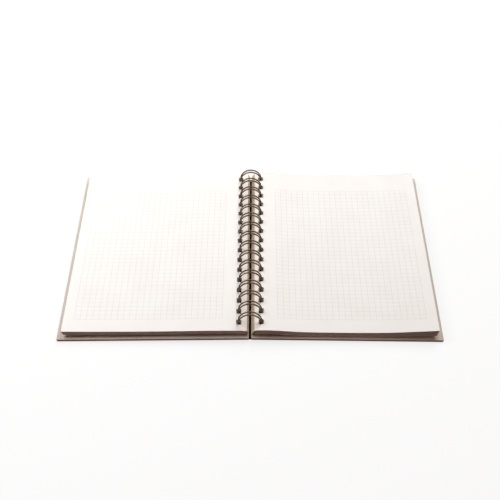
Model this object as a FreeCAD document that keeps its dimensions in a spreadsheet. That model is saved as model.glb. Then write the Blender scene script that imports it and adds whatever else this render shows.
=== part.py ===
"""Hard-cover notebook bound with twin-loop wire, lying open near its middle.

Lengths are millimetres. X runs across the spread, Y from the near (tail) edge to the
head and Z up. The origin is on the table, under the middle of the spine.
"""
import FreeCAD
import Part
import math
import os
import Sketcher
from FreeCAD import Vector

# Sides of the spine.
FRONT = -1
BACK = 1

# Driving sizes, each with the name of its cell.
SIZES = [
    # sheets
    ("sheet_length", 210.0, "head to tail"),
    ("sheet_fore_x", 151.3, "fore edge of the uppermost sheets, from the middle of the spine"),
    ("lowest_sheet_x", 1.2, "spine edge of the lowest sheet of both piles"),
    ("front_inner_x", 2.4, "spine edge of the uppermost sheet turned to the left"),
    ("back_inner_x", 3.6, "spine edge of the uppermost sheet on the right"),
    ("front_thick", 3.5, "pile of sheets turned over to the left"),
    ("back_thick", 4.3, "pile of sheets still on the right"),
    ("front_fan", 0.3, "how much further the front sheets stand apart at the fore edge"),
    ("back_fan", 1.6, "the same for the back sheets"),
    ("front_lean", 2.0, "how far the lowest front sheet steps in at the fore edge"),
    ("back_lean", 2.1, "the same for the back sheets"),
    # boards
    ("board_thick", 2.0, "grey board with its covering"),
    ("end_overhang", 3.0, "boards past the sheets at head and tail"),
    ("fore_overhang", 3.8, "boards past the sheets at the fore edge"),
    ("board_inner_x", 0.9, "half the gap between the boards"),
    ("board_corner_r", 1.5, "rounding of the two fore-edge corners"),
    ("board_rim_r", 0.35, "soft rim of the covering"),
    # binding wire
    ("loop_pitch", 12.7, "two loops to the inch"),
    ("loop_width", 3.4, "between the centre lines of a loop's two wires"),
    ("wire_dia", 1.2, "bronze-coloured steel wire"),
    ("ring_r", 9.3, "centre line of the wire"),
    ("ring_lift", 0.1, "the ring over the table, because the tips reach lowest"),
    ("seam_half", 1.2, "seam at the bottom: half the gap from tips to bridges"),
    ("bridge_bend_r", 1.4, "bends between a loop and the bridge to the next"),
    # punching, and clearances round the wire
    ("end_margin", 4.0, "least paper between the outermost holes and head or tail"),
    ("punch_play", 0.45, "slots and holes past the wire, along the spine"),
    ("slot_play", 0.2, "slots in the boards past the wire, across the spine"),
    ("hole_width", 4.1, "holes in the sheets, across the spine"),
    ("hole_play", 1.3, "outside of the ring to the outer edge of the sheets' holes"),
    ("board_over_wire", 0.45, "underside of the boards over the wire at the seam"),
]

# What follows from the driving sizes, so that everything on the wire stays on it.
FITS = [
    ("board_length", "Sizes.sheet_length + 2 * Sizes.end_overhang"),
    ("board_outer_x", "Sizes.sheet_fore_x + Sizes.fore_overhang"),
    ("ring_z", "Sizes.ring_r + Sizes.wire_dia / 2 + Sizes.ring_lift"),
    ("tip_angle", "(Sizes.seam_half + Sizes.loop_width / 2) / Sizes.ring_r"),
    ("seam_top_z", "ring_z - Sizes.ring_r * cos(tip_angle * 1 rad) + Sizes.wire_dia / 2"),
    ("spine_raise", "seam_top_z + Sizes.board_over_wire"),
    ("punch_length", "Sizes.loop_width + Sizes.wire_dia + 2 * Sizes.punch_play"),
    ("slot_inner_r", "Sizes.ring_r - Sizes.wire_dia / 2 - Sizes.slot_play"),
    ("slot_outer_r", "Sizes.ring_r + Sizes.wire_dia / 2 + Sizes.slot_play"),
    ("slot_inner_x", "sqrt(slot_inner_r ^ 2 - (ring_z - spine_raise) ^ 2)"),
    ("slot_outer_x", "sqrt(slot_outer_r ^ 2 - (ring_z - spine_raise - Sizes.board_thick) ^ 2)"),
    ("hole_outer_r", "Sizes.ring_r + Sizes.wire_dia / 2 + Sizes.hole_play"),
    ("hole_inner_r", "hole_outer_r - Sizes.hole_width"),
    ("punched_length", "Sizes.sheet_length - 2 * Sizes.end_margin - punch_length"),
    ("loop_count", "floor(punched_length / Sizes.loop_pitch) + 1"),
    ("first_loop_y", "Sizes.loop_pitch * (loop_count - 1) / 2"),
]

# How the lowest sheet of each pile lies: place as a share of the way from the uppermost
# sheet's spine edge to its fore edge, and height above the board there.
LIE = {
    "front": [
        (0.0, 1.28),
        (0.031, 1.59),
        (0.058, 1.75),
        (0.118, 1.85),
        (0.192, 1.98),
        (0.313, 1.84),
        (0.454, 1.63),
        (0.575, 1.62),
        (0.723, 1.70),
        (0.857, 1.84),
        (1.0, 2.0),
    ],
    "back": [
        (0.0, 1.50),
        (0.023, 1.92),
        (0.057, 2.09),
        (0.104, 1.95),
        (0.192, 1.0),
        (0.362, 0.27),
        (0.538, 0.22),
        (0.626, 0.26),
        (0.714, 0.45),
        (0.802, 0.94),
        (0.883, 1.50),
        (0.964, 2.0),
        (1.0, 2.2),
    ],
}


def number_sheet(doc):
    """Spreadsheet of the driving sizes."""
    sizes = doc.addObject("Spreadsheet::Sheet", "Sizes")
    for line, (alias, value, note) in enumerate(SIZES, start=1):
        sizes.set(f"A{line}", alias)
        sizes.set(f"B{line}", str(value))
        sizes.set(f"C{line}", note)
        sizes.setAlias(f"B{line}", alias)
    doc.recompute()
    return sizes


def worked_out(doc):
    """Set of the sizes that are worked out from the spreadsheet."""
    fits = doc.addObject("App::VarSet", "Fits")
    for name, formula in FITS:
        fits.addProperty("App::PropertyFloat", name)
        fits.setExpression(name, formula)
    doc.recompute()
    return fits


def plane_of(body, role):
    """Origin plane or axis of a body, such as XZ_Plane or Y_Axis."""
    return next(item for item in body.Origin.OriginFeatures if item.Role == role)


def sketch_on(body, role, name):
    sketch = body.newObject("Sketcher::SketchObject", name)
    sketch.AttachmentSupport = [(plane_of(body, role), "")]
    sketch.MapMode = "FlatFace"
    return sketch


def tie(sketch, kind, first, second, formula):
    """Dimension between two (element, point) pairs, driven by the spreadsheet."""
    span = sketch.getPoint(*second) - sketch.getPoint(*first)
    drawn = {"DistanceX": span.x, "DistanceY": span.y, "Distance": span.Length}[kind]
    index = sketch.addConstraint(Sketcher.Constraint(kind, *first, *second, drawn))
    sketch.setExpression(f"Constraints[{index}]", formula)


def tie_across(sketch, side, point, formula):
    """Distance of a point from the spine plane, to the left or to the right."""
    origin = (-1, 1)
    if side == BACK:
        tie(sketch, "DistanceX", origin, point, formula)
    else:
        tie(sketch, "DistanceX", point, origin, formula)


def join_chain(sketch, count):
    """Make the ends of neighbouring elements coincide, and close the chain."""
    for element in range(count):
        following = (element + 1) % count
        sketch.addConstraint(Sketcher.Constraint("Coincident", element, 2, following, 1))


def edge_names(shape, wanted):
    return [f"Edge{n}" for n, edge in enumerate(shape.Edges, start=1) if wanted(edge)]


def pattern_along_spine(doc, body, feature, name):
    """Repeat a cut at every loop of the binding."""
    pattern = body.newObject("PartDesign::LinearPattern", name)
    pattern.Originals = [feature]
    pattern.Direction = (plane_of(body, "Y_Axis"), [""])
    body.Tip = pattern
    pattern.setExpression("Length", "2 * Fits.first_loop_y")
    pattern.setExpression("Occurrences", "Fits.loop_count")
    doc.recompute()
    return pattern


def make_board(doc, sizes, fits, name, side):
    """One cover board, tilted because the wire lifts its spine edge, with its slots."""
    body = doc.addObject("PartDesign::Body", name)
    outer = fits.board_outer_x
    inner = sizes.board_inner_x
    raised = fits.spine_raise
    section = sketch_on(body, "XZ_Plane", f"{name}_section")
    fore_edge = Vector(side * outer, 0, 0)
    spine_edge = Vector(side * inner, raised, 0)
    up = Vector(side * raised, outer - inner, 0).normalize() * sizes.board_thick
    corners = [fore_edge, spine_edge, spine_edge + up, fore_edge + up]
    for start, end in zip(corners, corners[1:] + corners[:1]):
        section.addGeometry(Part.LineSegment(start, end), False)
    join_chain(section, 4)
    section.addConstraint(Sketcher.Constraint("PointOnObject", 0, 1, -1))
    section.addConstraint(Sketcher.Constraint("Perpendicular", 0, 1))
    section.addConstraint(Sketcher.Constraint("Parallel", 0, 2))
    section.addConstraint(Sketcher.Constraint("Parallel", 1, 3))
    tie_across(section, side, (0, 1), "Fits.board_outer_x")
    tie_across(section, side, (0, 2), "Sizes.board_inner_x")
    tie(section, "DistanceY", (-1, 1), (0, 2), "Fits.spine_raise")
    tie(section, "Distance", (1, 1), (1, 2), "Sizes.board_thick")

    board = body.newObject("PartDesign::Pad", f"{name}_board")
    board.Profile = section
    board.SideType = "Symmetric"
    board.setExpression("Length", "Fits.board_length")
    doc.recompute()

    def is_corner(edge):
        upright = abs(edge.Length - sizes.board_thick) < 0.05 * sizes.board_thick
        return upright and abs(edge.CenterOfMass.x) > (inner + outer) / 2

    corners = body.newObject("PartDesign::Fillet", f"{name}_corners")
    corners.Base = (board, edge_names(board.Shape, is_corner))
    corners.setExpression("Radius", "Sizes.board_corner_r")
    doc.recompute()

    def is_rim(edge):
        return edge.Length > (outer - inner) / 2

    rim = body.newObject("PartDesign::Fillet", f"{name}_rim")
    rim.Base = (corners, edge_names(corners.Shape, is_rim))
    rim.setExpression("Radius", "Sizes.board_rim_r")
    doc.recompute()

    outline = sketch_on(body, "XY_Plane", f"{name}_slot_outline")
    near_x = side * fits.slot_inner_x
    far_x = side * fits.slot_outer_x
    first_y = -fits.first_loop_y
    half = fits.punch_length / 2
    points = [
        Vector(near_x, first_y - half, 0),
        Vector(far_x, first_y - half, 0),
        Vector(far_x, first_y + half, 0),
        Vector(near_x, first_y + half, 0),
    ]
    for start, end in zip(points, points[1:] + points[:1]):
        outline.addGeometry(Part.LineSegment(start, end), False)
    join_chain(outline, 4)
    for element, direction in enumerate(("Horizontal", "Vertical", "Horizontal", "Vertical")):
        outline.addConstraint(Sketcher.Constraint(direction, element))
    tie_across(outline, side, (0, 1), "Fits.slot_inner_x")
    tie_across(outline, side, (0, 2), "Fits.slot_outer_x")
    tie(outline, "DistanceY", (1, 1), (1, 2), "Fits.punch_length")
    tie(outline, "DistanceY", (0, 1), (-1, 1), "Fits.first_loop_y + Fits.punch_length / 2")

    slot = body.newObject("PartDesign::Pocket", f"{name}_slot")
    slot.Profile = outline
    slot.SideType = "Symmetric"
    slot.Type = "ThroughAll"
    doc.recompute()
    pattern_along_spine(doc, body, slot, f"{name}_slots")
    return body


def make_leaves(doc, sizes, fits, name, pile, side):
    """One pile of sheets: wavy section, leaning edges, holes that follow the ring."""
    body = doc.addObject("PartDesign::Body", name)
    inner = getattr(sizes, f"{pile}_inner_x")
    thick = getattr(sizes, f"{pile}_thick")
    fan = getattr(sizes, f"{pile}_fan")
    lean = getattr(sizes, f"{pile}_lean")
    board_width = fits.board_outer_x - sizes.board_inner_x

    def board_top(x):
        return sizes.board_thick + fits.spine_raise * (fits.board_outer_x - x) / board_width

    upper = []
    lower = []
    for share, lift in LIE[pile]:
        x = inner + (sizes.sheet_fore_x - inner) * share
        z = board_top(x) + lift
        lower.append(Vector(side * x, z, 0))
        upper.append(Vector(side * x, z + thick + fan * share ** 4, 0))
    lower[0].x = side * sizes.lowest_sheet_x
    lower[-1].x -= side * lean
    lower.reverse()

    section = sketch_on(body, "XZ_Plane", f"{name}_section")
    top_curve = Part.BSplineCurve()
    top_curve.interpolate(upper)
    bottom_curve = Part.BSplineCurve()
    bottom_curve.interpolate(lower)
    section.addGeometry(top_curve, False)
    section.addGeometry(Part.LineSegment(upper[-1], lower[0]), False)
    section.addGeometry(bottom_curve, False)
    section.addGeometry(Part.LineSegment(lower[-1], upper[0]), False)
    section.addConstraint(Sketcher.Constraint("Block", 0))
    section.addConstraint(Sketcher.Constraint("Block", 2))
    join_chain(section, 4)

    leaves = body.newObject("PartDesign::Pad", f"{name}_pile")
    leaves.Profile = section
    leaves.SideType = "Symmetric"
    leaves.setExpression("Length", "Sizes.sheet_length")
    doc.recompute()

    channel = sketch_on(body, "XZ_Plane", f"{name}_hole_section")
    channel.setExpression("AttachmentOffset.Base.z", "Fits.first_loop_y")
    middle = Vector(0, fits.ring_z, 0)
    start = -math.pi / 2 if side == BACK else math.pi / 2
    arcs = []
    for radius in (fits.hole_inner_r, fits.hole_outer_r):
        circle = Part.Circle(middle, Vector(0, 0, 1), radius)
        arcs.append(Part.ArcOfCircle(circle, start, start + math.pi))
    inner_arc, outer_arc = arcs
    channel.addGeometry(inner_arc, False)
    channel.addGeometry(Part.LineSegment(inner_arc.EndPoint, outer_arc.EndPoint), False)
    channel.addGeometry(outer_arc, False)
    channel.addGeometry(Part.LineSegment(outer_arc.StartPoint, inner_arc.StartPoint), False)
    for element, end, following, start in ((0, 2, 1, 1), (1, 2, 2, 2), (2, 1, 3, 1), (3, 2, 0, 1)):
        channel.addConstraint(Sketcher.Constraint("Coincident", element, end, following, start))
    channel.addConstraint(Sketcher.Constraint("Coincident", 0, 3, 2, 3))
    for element, point in ((0, 3), (0, 1), (0, 2), (2, 1), (2, 2)):
        channel.addConstraint(Sketcher.Constraint("PointOnObject", element, point, -2))
    tie(channel, "DistanceY", (-1, 1), (0, 3), "Fits.ring_z")
    for element, size in ((0, "hole_inner_r"), (2, "hole_outer_r")):
        radius = Sketcher.Constraint("Radius", element, getattr(fits, size))
        index = channel.addConstraint(radius)
        channel.setExpression(f"Constraints[{index}]", f"Fits.{size}")

    hole = body.newObject("PartDesign::Pocket", f"{name}_hole")
    hole.Profile = channel
    hole.SideType = "Symmetric"
    hole.Type = "Length"
    hole.setExpression("Length", "Fits.punch_length")
    doc.recompute()
    pattern_along_spine(doc, body, hole, f"{name}_holes")
    return body


def make_binding(doc, sizes, fits, name):
    """One strand of wire bent into double loops, joined below the boards by bridges."""
    radius = sizes.ring_r
    half = sizes.loop_width / 2
    bend = sizes.bridge_bend_r
    root_turn = (sizes.seam_half + bend) / radius
    tip_turn = 2 * math.pi - fits.tip_angle
    count = int(fits.loop_count)

    def on_ring(turn, y):
        """Point on the ring, turned from its lowest point towards +X."""
        return Vector(radius * math.sin(turn), y, fits.ring_z - radius * math.cos(turn))

    def along_ring(turn):
        return Vector(math.cos(turn), 0, math.sin(turn))

    def leg(y, start, end):
        return Part.Arc(on_ring(start, y), on_ring((start + end) / 2, y), on_ring(end, y)).toShape()

    def tip(y):
        middle = on_ring(tip_turn, y) + along_ring(tip_turn) * half
        return Part.Arc(on_ring(tip_turn, y - half), middle, on_ring(tip_turn, y + half)).toShape()

    def bridge(y, next_y):
        """Quarter bend, straight run along the spine, quarter bend into the next loop."""
        down = along_ring(root_turn) * -bend
        forward = Vector(0, bend, 0)
        slant = math.sqrt(0.5)
        leave = on_ring(root_turn, y + half)
        reach = on_ring(root_turn, next_y - half)
        run_start = leave + forward + down
        run_end = reach - forward + down
        leave_middle = leave + forward * (1 - slant) + down * slant
        reach_middle = reach - forward * (1 - slant) + down * slant
        return [
            Part.Arc(leave, leave_middle, run_start).toShape(),
            Part.LineSegment(run_start, run_end).toShape(),
            Part.Arc(run_end, reach_middle, reach).toShape(),
        ]

    end_turn = sizes.seam_half / radius
    path = []
    for index in range(count):
        y = index * sizes.loop_pitch - fits.first_loop_y
        start = end_turn if index == 0 else root_turn
        finish = end_turn if index == count - 1 else root_turn
        path.append(leg(y - half, start, tip_turn))
        path.append(tip(y))
        path.append(leg(y + half, tip_turn, finish))
        if index < count - 1:
            path.extend(bridge(y, y + sizes.loop_pitch))

    start_circle = Part.Circle(path[0].Vertexes[0].Point, along_ring(end_turn), sizes.wire_dia / 2)
    outline = start_circle.toShape()
    faces = [Part.Face(Part.Wire([outline]))]
    for piece in path:
        start, end = (vertex.Point for vertex in piece.Vertexes)
        if isinstance(piece.Curve, Part.Circle):
            angle = math.degrees(piece.LastParameter - piece.FirstParameter)
            faces.append(outline.revolve(piece.Curve.Center, piece.Curve.Axis, angle))
            outline = outline.rotated(piece.Curve.Center, piece.Curve.Axis, angle)
        else:
            faces.append(outline.extrude(end - start))
            outline = outline.translated(end - start)
    faces.append(Part.Face(Part.Wire([outline])))
    skin = Part.makeShell(faces)
    skin.sewShape()
    solid = Part.Solid(skin)
    if solid.Volume < 0:
        solid.reverse()
    binding = doc.addObject("Part::Feature", name)
    binding.Shape = solid
    return binding


def save_parts(doc, parts):
    """Stop on any failed object, then write one STEP file for each part."""
    doc.recompute()
    for item in doc.Objects:
        if "Invalid" in item.State or "Error" in item.State:
            raise RuntimeError(f"{item.Name} did not compute: {item.State}")
    os.makedirs("parts", exist_ok=True)
    for item in parts:
        shape = item.Shape
        if shape.isNull() or not shape.isValid() or len(shape.Solids) != 1:
            raise RuntimeError(f"{item.Name} is not one valid solid")
        shape.exportStep(f"parts/{item.Name}.step")
        box = shape.BoundBox
        size = f"{box.XLength:.2f} x {box.YLength:.2f} x {box.ZLength:.2f}"
        print(f"{item.Name}: {size} mm, lowest {box.ZMin:.3f}, volume {shape.Volume:.0f} mm3")


def main():
    doc = FreeCAD.newDocument("notebook")
    sizes = number_sheet(doc)
    fits = worked_out(doc)
    parts = [
        make_board(doc, sizes, fits, "front_cover", FRONT),
        make_board(doc, sizes, fits, "back_cover", BACK),
        make_leaves(doc, sizes, fits, "front_leaves", "front", FRONT),
        make_leaves(doc, sizes, fits, "back_leaves", "back", BACK),
        make_binding(doc, sizes, fits, "binding_wire"),
    ]
    save_parts(doc, parts)


main()
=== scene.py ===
"""Looks of an open wire-bound notebook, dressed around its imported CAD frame.

Metres. X runs across the spread, Y from the near (tail) edge to the head, Z up.
"""
import bpy
import math
import random
from mathutils import Matrix

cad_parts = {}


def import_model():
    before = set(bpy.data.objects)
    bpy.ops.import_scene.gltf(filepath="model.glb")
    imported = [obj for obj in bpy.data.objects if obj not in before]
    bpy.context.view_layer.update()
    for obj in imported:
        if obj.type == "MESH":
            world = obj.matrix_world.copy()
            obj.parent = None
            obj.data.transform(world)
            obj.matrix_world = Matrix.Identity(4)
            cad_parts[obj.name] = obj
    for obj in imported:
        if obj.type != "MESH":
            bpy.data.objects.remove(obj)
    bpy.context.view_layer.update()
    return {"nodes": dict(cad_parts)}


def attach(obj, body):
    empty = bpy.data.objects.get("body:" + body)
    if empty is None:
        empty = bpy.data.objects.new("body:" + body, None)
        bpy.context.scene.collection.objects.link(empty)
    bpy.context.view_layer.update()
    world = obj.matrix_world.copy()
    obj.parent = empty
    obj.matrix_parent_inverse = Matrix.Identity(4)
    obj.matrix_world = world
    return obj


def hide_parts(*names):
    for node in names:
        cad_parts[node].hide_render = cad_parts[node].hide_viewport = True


MM = 0.001

# Binding and boards, millimetres, the same as in the CAD source.
LOOPS = 16
LOOP_PITCH = 12.7
PUNCH_LENGTH = 5.5
RING_Z = 10.0
HOLE_INNER_R = 7.1
HOLE_OUTER_R = 11.2
BOARD_THICK = 2.0
BOARD_INNER_X = 0.9
BOARD_OUTER_X = 155.1
SPINE_RAISE = 2.2

# Piles of sheets, also the same. The lie is that of the lowest sheet: place as a share of
# the way from the uppermost sheet's spine edge to its fore edge, and height above the board.
# Both piles have slid a little along the wire, within the play of their holes.
SHEET_LENGTH = 210.0
SHEET_FORE_X = 151.3
LOWEST_SHEET_X = 1.2
PILES = {
    "front": {
        "side": -1,
        "slid": 0.3,
        "sheets": 32,
        "thick": 3.5,
        "fan": 0.3,
        "lean": 2.0,
        "inner_x": 2.4,
        "lie": [
            (0.0, 1.28), (0.031, 1.59), (0.058, 1.75), (0.118, 1.85), (0.192, 1.98), (0.313, 1.84),
            (0.454, 1.63), (0.575, 1.62), (0.723, 1.70), (0.857, 1.84), (1.0, 2.0),
        ],
    },
    "back": {
        "side": 1,
        "slid": -0.3,
        "sheets": 38,
        "thick": 4.3,
        "fan": 1.6,
        "lean": 2.1,
        "inner_x": 3.6,
        "lie": [
            (0.0, 1.50), (0.023, 1.92), (0.057, 2.09), (0.104, 1.95), (0.192, 1.0), (0.362, 0.27),
            (0.538, 0.22), (0.626, 0.26), (0.714, 0.45), (0.802, 0.94), (0.883, 1.50), (0.964, 2.0),
            (1.0, 2.2),
        ],
    },
}

# Share of its room in the pile that the paper of a sheet fills. The rest is air.
PAPER_SHARE = 0.86

# How finely a sheet's section is cut: spine edge to holes, across the holes, holes to fore edge.
SPINE_CUTS = 4
HOLE_CUTS = 3
FACE_CUTS = 40

# How far a sheet may be out of line with the others, across and along the spine.
JOG_ACROSS = (-0.14, 0.10)
JOG_ALONG = (-0.05, 0.05)

# Printed squares: first and last line, measured from the spine and from the middle.
SQUARE = 5.0 * MM
PRINT_X = (22.5 * MM, 142.5 * MM)
PRINT_Y = (-90.5 * MM, 79.5 * MM)
PRINT_LINE = 0.26 * MM

# Where the painted shade on the stepped spine edges of the two piles fades out, and the span of
# the warm painted shade on the paper between the loops.
FRONT_EDGE_SHADE_X = (-2.7 * MM, -2.1 * MM)
BACK_EDGE_SHADE_X = (3.0 * MM, 4.2 * MM)
LOOP_SHADE_X = (5.0 * MM, 10.0 * MM)

# Camera, as fitted to the photograph: metres, degrees and millimetres.
CAMERA_PLACE = (0.00414, -0.72577, 0.62546)
CAMERA_HEADING = 0.3576
CAMERA_TILT = 49.447
CAMERA_ROLL = -0.155
CAMERA_LENS = 78.786

# Light from all round, dim and warm.
AMBIENT = (0.126, 0.069, 0.052, 1)

# Table: share of its white that glows, and half the size of the strip under the spine that
# doesn't glow and is painted dark as shade, because it is seen between the boards.
FLOOR_GLOW = 0.8
SPINE_SHADE = (1.6 * MM, 105.2 * MM)


class Shade:
    """Small helper to write a material's nodes as calls."""

    def __init__(self, name):
        self.material = bpy.data.materials.new(name)
        self.material.use_nodes = True
        self.nodes = self.material.node_tree.nodes
        self.links = self.material.node_tree.links
        self.surface = self.nodes["Principled BSDF"]

    def put(self, socket, value):
        if isinstance(value, bpy.types.NodeSocket):
            self.links.new(value, socket)
        else:
            socket.default_value = value

    def node(self, kind, **values):
        made = self.nodes.new(kind)
        for key, value in values.items():
            setattr(made, key, value)
        return made

    def math(self, operation, *values):
        made = self.node("ShaderNodeMath", operation=operation)
        for socket, value in zip(made.inputs, values):
            self.put(socket, value)
        return made.outputs[0]

    def mix(self, share, first, second):
        made = self.node("ShaderNodeMix", data_type="RGBA")
        self.put(made.inputs[0], share)
        self.put(made.inputs[6], first)
        self.put(made.inputs[7], second)
        return made.outputs[2]

    def spread(self, value, low, high, to_low=0.0, to_high=1.0):
        made = self.node("ShaderNodeMapRange")
        for socket, number in zip(made.inputs, (value, low, high, to_low, to_high)):
            self.put(socket, number)
        return made.outputs[0]

    def place(self, scale=(1, 1, 1)):
        """Coordinates of the piece itself, so the pattern moves with it."""
        source = self.node("ShaderNodeTexCoord").outputs["Object"]
        mapping = self.node("ShaderNodeMapping")
        self.put(mapping.inputs["Vector"], source)
        self.put(mapping.inputs["Scale"], scale)
        return mapping.outputs[0]

    def noise(self, vector, scale, detail=3.0, roughness=0.5):
        made = self.node("ShaderNodeTexNoise")
        self.put(made.inputs["Vector"], vector)
        self.put(made.inputs["Scale"], scale)
        self.put(made.inputs["Detail"], detail)
        self.put(made.inputs["Roughness"], roughness)
        return made.outputs["Fac"]

    def bump(self, height, distance, strength=1.0):
        made = self.node("ShaderNodeBump")
        self.put(made.inputs["Height"], height)
        self.put(made.inputs["Distance"], distance)
        self.put(made.inputs["Strength"], strength)
        self.put(self.surface.inputs["Normal"], made.outputs[0])


def rgb(red, green, blue):
    """Linear colour from the 0 to 255 values that a picture shows."""
    def linear(value):
        value /= 255
        return value / 12.92 if value <= 0.04045 else ((value + 0.055) / 1.055) ** 2.4
    return (linear(red), linear(green), linear(blue), 1.0)


def paper_material():
    """Uncoated paper, printed with a faint square grid on both sides of each sheet."""
    s = Shade("sheets")
    here = s.place()
    axes = s.node("ShaderNodeSeparateXYZ")
    s.put(axes.inputs[0], here)
    across = s.math("ABSOLUTE", axes.outputs[0])
    along = axes.outputs[1]

    def lines(position, first, last):
        steps = s.math("DIVIDE", s.math("SUBTRACT", position, first), SQUARE)
        off_line = s.math("ABSOLUTE", s.math("SUBTRACT", steps, s.math("ROUND", steps)))
        line = s.math("LESS_THAN", off_line, PRINT_LINE / SQUARE / 2)
        after = s.math("GREATER_THAN", position, first - PRINT_LINE)
        before = s.math("LESS_THAN", position, last + PRINT_LINE)
        return line, s.math("MULTIPLY", after, before)

    upright, within_x = lines(across, *PRINT_X)
    level, within_y = lines(along, *PRINT_Y)
    printed = s.math("MAXIMUM", upright, level)
    printed = s.math("MULTIPLY", printed, s.math("MULTIPLY", within_x, within_y))
    facing = s.node("ShaderNodeSeparateXYZ")
    s.put(facing.inputs[0], s.node("ShaderNodeTexCoord").outputs["Normal"])
    on_face = s.math("GREATER_THAN", s.math("ABSOLUTE", facing.outputs[2]), 0.7)
    printed = s.math("MULTIPLY", printed, on_face)

    cloud = s.noise(here, 45.0, 2.0)
    fibre = s.noise(s.place((1.0, 2.4, 1.0)), 2600.0, 4.0, 0.65)
    tone = s.mix(s.spread(cloud, 0.3, 0.7), rgb(247, 246, 244), rgb(244, 242, 240))
    tone = s.mix(s.spread(fibre, 0.35, 0.75, 0.0, 0.16), tone, rgb(226, 221, 212))
    # Painted shade: a warm cream tone on the paper beside the spine, under the wire loops.
    loop_shade = s.spread(across, *LOOP_SHADE_X, 0.8, 0.0)
    tone = s.mix(loop_shade, tone, rgb(250, 241, 227))
    # Painted shade: the stepped spine edges of both piles are darkened towards brown grey, where
    # shade falls between the sheets.
    front_edge_shade = s.spread(axes.outputs[0], *FRONT_EDGE_SHADE_X)
    back_edge_shade = s.spread(axes.outputs[0], *BACK_EDGE_SHADE_X, 1.0, 0.0)
    steps = s.math("MULTIPLY", front_edge_shade, back_edge_shade)
    tone = s.mix(s.math("MULTIPLY", steps, 0.9), tone, rgb(182, 166, 149))
    ink = s.spread(fibre, 0.3, 0.7, 0.36, 0.26)
    tone = s.mix(s.math("MULTIPLY", printed, ink), tone, rgb(150, 146, 142))
    s.put(s.surface.inputs["Base Color"], tone)
    s.put(s.surface.inputs["Roughness"], s.spread(fibre, 0.2, 0.8, 0.78, 0.95))
    s.put(s.surface.inputs["Specular IOR Level"], 0.25)
    s.bump(fibre, 0.012 * MM, 0.6)
    return s.material


def board_material():
    """Sand-grey covering paper on the boards: fine fibres, light and dark flecks."""
    s = Shade("cover_board")
    here = s.place()
    cloud = s.noise(here, 28.0, 4.0)
    fibre = s.noise(s.place((1.0, 3.2, 1.0)), 1500.0, 6.0, 0.7)
    fleck = s.noise(here, 900.0, 2.0)
    tone = s.mix(s.spread(cloud, 0.3, 0.7), rgb(224, 214, 202), rgb(217, 206, 193))
    tone = s.mix(s.spread(fibre, 0.3, 0.75, 0.0, 0.45), tone, rgb(203, 190, 176))
    tone = s.mix(s.spread(fleck, 0.64, 0.72, 0.0, 0.5), tone, rgb(172, 155, 138))
    tone = s.mix(s.spread(fleck, 0.36, 0.29, 0.0, 0.5), tone, rgb(232, 224, 213))
    s.put(s.surface.inputs["Base Color"], tone)
    s.put(s.surface.inputs["Roughness"], s.spread(fibre, 0.2, 0.8, 0.62, 0.86))
    s.put(s.surface.inputs["Specular IOR Level"], 0.35)
    s.bump(fibre, 0.03 * MM, 0.8)
    return s.material


def wire_material():
    """Dark bronze enamel on steel wire, slightly uneven and rubbed."""
    s = Shade("bronze_wire")
    here = s.place()
    cloud = s.noise(here, 260.0, 3.0)
    grain = s.noise(here, 3800.0, 3.0, 0.6)
    tone = s.mix(s.spread(cloud, 0.3, 0.7), rgb(104, 82, 64), rgb(72, 55, 42))
    s.put(s.surface.inputs["Base Color"], tone)
    s.put(s.surface.inputs["Metallic"], 0.75)
    s.put(s.surface.inputs["Roughness"], s.spread(grain, 0.2, 0.8, 0.22, 0.38))
    s.bump(grain, 0.006 * MM, 0.5)
    return s.material


def floor_material():
    """White table: glows for the camera and in reflections, and bounces little light; the strip
    under the spine is painted dark as shade.
    """
    s = Shade("floor")
    ray = s.node("ShaderNodeLightPath")
    seen = s.math("MAXIMUM", ray.outputs["Is Camera Ray"], ray.outputs["Is Glossy Ray"])
    seen = s.math("MAXIMUM", seen, ray.outputs["Is Transmission Ray"])
    across = s.node("ShaderNodeSeparateXYZ")
    s.put(across.inputs[0], s.place())
    beside = s.math("GREATER_THAN", s.math("ABSOLUTE", across.outputs[0]), SPINE_SHADE[0])
    beyond = s.math("GREATER_THAN", s.math("ABSOLUTE", across.outputs[1]), SPINE_SHADE[1])
    open_floor = s.math("MAXIMUM", beside, beyond)
    glow = s.math("MULTIPLY", open_floor, FLOOR_GLOW)
    plain = 1.0 - FLOOR_GLOW
    # Painted shade: under the spine the table is near black instead of white.
    tone = s.mix(open_floor, (0.045, 0.030, 0.020, 1), (plain, plain, plain, 1))
    s.put(s.surface.inputs["Base Color"], s.mix(seen, (0.08, 0.06, 0.055, 1), tone))
    s.put(s.surface.inputs["Emission Color"], (1.0, 1.0, 1.0, 1))
    s.put(s.surface.inputs["Emission Strength"], s.math("MULTIPLY", glow, seen))
    s.put(s.surface.inputs["Roughness"], 1.0)
    s.put(s.surface.inputs["Specular IOR Level"], 0.0)
    return s.material


def curve_through(points):
    """Natural cubic spline z(x) through the points."""
    count = len(points)
    xs = [p[0] for p in points]
    zs = [p[1] for p in points]
    gaps = [xs[i + 1] - xs[i] for i in range(count - 1)]
    upper = [0.0] * count
    right = [0.0] * count
    for i in range(1, count - 1):
        slope = 6 * ((zs[i + 1] - zs[i]) / gaps[i] - (zs[i] - zs[i - 1]) / gaps[i - 1])
        pivot = 2 * (gaps[i - 1] + gaps[i]) - gaps[i - 1] * upper[i - 1]
        upper[i] = gaps[i] / pivot
        right[i] = (slope - gaps[i - 1] * right[i - 1]) / pivot
    bend = [0.0] * count
    for i in range(count - 2, 0, -1):
        bend[i] = right[i] - upper[i] * bend[i + 1]

    def height(x):
        i = 0
        while i < count - 2 and x > xs[i + 1]:
            i += 1
        a = (xs[i + 1] - x) / gaps[i]
        b = (x - xs[i]) / gaps[i]
        curl = ((a ** 3 - a) * bend[i] + (b ** 3 - b) * bend[i + 1]) * gaps[i] ** 2 / 6
        return a * zs[i] + b * zs[i + 1] + curl

    return height


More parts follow.
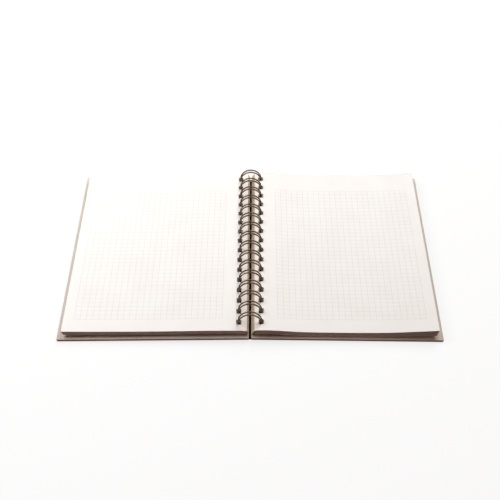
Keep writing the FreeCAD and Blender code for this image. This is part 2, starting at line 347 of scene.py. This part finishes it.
def sheet_outline(pile, share):
    """Height curve and both edges of the sheet at a share of the pile's thickness."""
    width = SHEET_FORE_X - pile["inner_x"]
    points = []
    for along, lift in pile["lie"]:
        x = pile["inner_x"] + width * along
        slope = SPINE_RAISE / (BOARD_OUTER_X - BOARD_INNER_X)
        board_top = BOARD_THICK + slope * (BOARD_OUTER_X - x)
        height = pile["thick"] + pile["fan"] * along ** 4
        points.append((x, board_top + lift + height * share))
    inner = LOWEST_SHEET_X + (pile["inner_x"] - LOWEST_SHEET_X) * share
    outer = SHEET_FORE_X - pile["lean"] * (1 - share)
    points[0] = (inner, points[0][1])
    points[-1] = (outer, points[-1][1])
    return curve_through(points), inner, outer


def add_sheet(pile, low_share, high_share, shift, verts, faces):
    """One punched sheet: two faces, its rim and the walls of its holes."""
    side = pile["side"]
    curve, inner, outer = sheet_outline(pile, (low_share + high_share) / 2)
    thick = pile["thick"] * (high_share - low_share)
    drop = RING_Z - curve((HOLE_INNER_R + HOLE_OUTER_R) / 2)
    hole_start = math.sqrt(HOLE_INNER_R ** 2 - drop ** 2)
    hole_end = math.sqrt(HOLE_OUTER_R ** 2 - drop ** 2)
    inner += shift[0] * 0.5
    outer += shift[0]
    spans = (
        (inner, hole_start, SPINE_CUTS),
        (hole_start, hole_end, HOLE_CUTS),
        (hole_end, outer, FACE_CUTS),
    )
    columns = []
    for start, end, steps in spans:
        columns.extend(start + (end - start) * k / steps for k in range(steps))
    columns.append(outer)
    first_hole = SPINE_CUTS
    last_hole = SPINE_CUTS + HOLE_CUTS

    near = -SHEET_LENGTH / 2 + shift[1]
    far = SHEET_LENGTH / 2 + shift[1]
    rows = [near]
    for loop in range(LOOPS):
        middle = (loop - (LOOPS - 1) / 2) * LOOP_PITCH + shift[1]
        rows.extend((middle - PUNCH_LENGTH / 2, middle + PUNCH_LENGTH / 2))
    rows.append(far)
    ends = (0, len(rows) - 1)

    index = {}

    def corner(level, column, row):
        key = (level, column, row)
        if key not in index:
            x = columns[column]
            z = curve(x) + thick * (0.5 if level else -0.5)
            index[key] = len(verts)
            verts.append((side * x * MM, rows[row] * MM, z * MM))
        return index[key]

    def fine(column):
        return first_hole <= column <= last_hole

    def rows_at(column):
        return range(len(rows)) if fine(column) else ends

    cells = []
    for column in range(len(columns) - 1):
        if fine(column) and fine(column + 1):
            for row in range(0, len(rows) - 1, 2):
                low_edge = [(column, row), (column + 1, row)]
                high_edge = [(column + 1, row + 1), (column, row + 1)]
                cells.append(low_edge + high_edge)
        else:
            back = [(column + 1, row) for row in rows_at(column + 1)]
            front = [(column, row) for row in rows_at(column)]
            cells.append([(column, 0)] + back + front[:0:-1])
    edges = {}
    for cell in cells:
        for a, b in zip(cell, cell[1:] + cell[:1]):
            edges[(a, b)] = True
    for cell in cells:
        top = [corner(1, *point) for point in cell]
        bottom = [corner(0, *point) for point in cell]
        faces.append(top if side > 0 else top[::-1])
        faces.append(bottom[::-1] if side > 0 else bottom)
    for a, b in edges:
        if (b, a) not in edges:
            wall = [corner(0, *a), corner(0, *b), corner(1, *b), corner(1, *a)]
            faces.append(wall if side > 0 else wall[::-1])


def make_pile(name, chance, material):
    pile = PILES[name]
    verts = []
    faces = []
    count = pile["sheets"]
    for number in range(count):
        low = number / count
        high = low + PAPER_SHARE / count
        shift = (chance.uniform(*JOG_ACROSS), pile["slid"] + chance.uniform(*JOG_ALONG))
        if number in (0, count - 1):
            shift = (0.0, pile["slid"])
        if number == count - 1:
            low, high = 1 - PAPER_SHARE / count, 1.0
        add_sheet(pile, low, high, shift, verts, faces)
    mesh = bpy.data.meshes.new(f"{name}_sheets")
    mesh.from_pydata(verts, [], faces)
    mesh.validate()
    mesh.polygons.foreach_set("use_smooth", [True] * len(mesh.polygons))
    mesh.set_sharp_from_angle(angle=math.radians(35))
    mesh.materials.append(material)
    piece = bpy.data.objects.new(f"{name}_sheets", mesh)
    bpy.context.scene.collection.objects.link(piece)
    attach(piece, f"{name}_sheets")
    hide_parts(f"{name}_leaves")
    return piece


def dress(node, material):
    """Give a CAD node its finished material."""
    mesh = node.data
    mesh.materials.clear()
    mesh.materials.append(material)


def make_floor():
    mesh = bpy.data.meshes.new("floor")
    reach = 6.0
    corners = [(-reach, -reach, 0), (reach, -reach, 0), (reach, reach, 0), (-reach, reach, 0)]
    mesh.from_pydata(corners, [], [(0, 1, 2, 3)])
    mesh.materials.append(floor_material())
    floor = bpy.data.objects.new("floor", mesh)
    bpy.context.scene.collection.objects.link(floor)


def make_lamp(name, place, target, size, power, tint):
    data = bpy.data.lights.new(name, "AREA")
    data.shape = "SQUARE"
    data.size = size
    data.energy = power
    data.color = tint
    lamp = bpy.data.objects.new(name, data)
    bpy.context.scene.collection.objects.link(lamp)
    aim = [t - p for p, t in zip(place, target)]
    flat = math.hypot(aim[0], aim[1])
    lamp.location = place
    lamp.rotation_euler = (math.atan2(flat, -aim[2]), 0, math.atan2(-aim[0], aim[1]))


def make_world():
    """White behind the object and in reflections, dim warm light from all round."""
    world = bpy.data.worlds.new("studio")
    bpy.context.scene.world = world
    world.use_nodes = True
    nodes = world.node_tree.nodes
    links = world.node_tree.links
    ray = nodes.new("ShaderNodeLightPath")
    seen = ray.outputs["Is Camera Ray"]
    for kind in ("Is Glossy Ray", "Is Transmission Ray"):
        either = nodes.new("ShaderNodeMath")
        either.operation = "MAXIMUM"
        links.new(seen, either.inputs[0])
        links.new(ray.outputs[kind], either.inputs[1])
        seen = either.outputs[0]
    level = nodes.new("ShaderNodeMix")
    level.data_type = "RGBA"
    links.new(seen, level.inputs[0])
    level.inputs[6].default_value = AMBIENT
    level.inputs[7].default_value = (1, 1, 1, 1)
    links.new(level.outputs[2], nodes["Background"].inputs["Color"])


def make_camera():
    data = bpy.data.cameras.new("camera")
    data.sensor_width = 36
    data.lens = CAMERA_LENS
    camera = bpy.data.objects.new("camera", data)
    place = Matrix.Translation(CAMERA_PLACE)
    heading = Matrix.Rotation(math.radians(CAMERA_HEADING), 4, "Z")
    tilt = Matrix.Rotation(math.radians(CAMERA_TILT), 4, "X")
    roll = Matrix.Rotation(math.radians(CAMERA_ROLL), 4, "Z")
    camera.matrix_world = place @ heading @ tilt @ roll
    bpy.context.scene.collection.objects.link(camera)
    bpy.context.scene.camera = camera


def main():
    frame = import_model()
    scene = bpy.context.scene
    scene.view_settings.view_transform = "Standard"
    chance = random.Random(7)

    boards = board_material()
    for name in ("front_cover", "back_cover"):
        dress(frame["nodes"][name], boards)
    dress(frame["nodes"]["binding_wire"], wire_material())
    paper = paper_material()
    for name in PILES:
        make_pile(name, chance, paper)

    make_floor()
    make_world()
    make_camera()
    make_lamp("left_lamp", (-0.50, 0.11, 0.62), (0, 0, 0), 0.42, 3.95, (0.96, 0.985, 1.0))
    make_lamp("far_softbox", (0.40, 0.95, 1.00), (0, 0, 0), 0.8, 17.2, (0.96, 0.985, 0.965))


main()
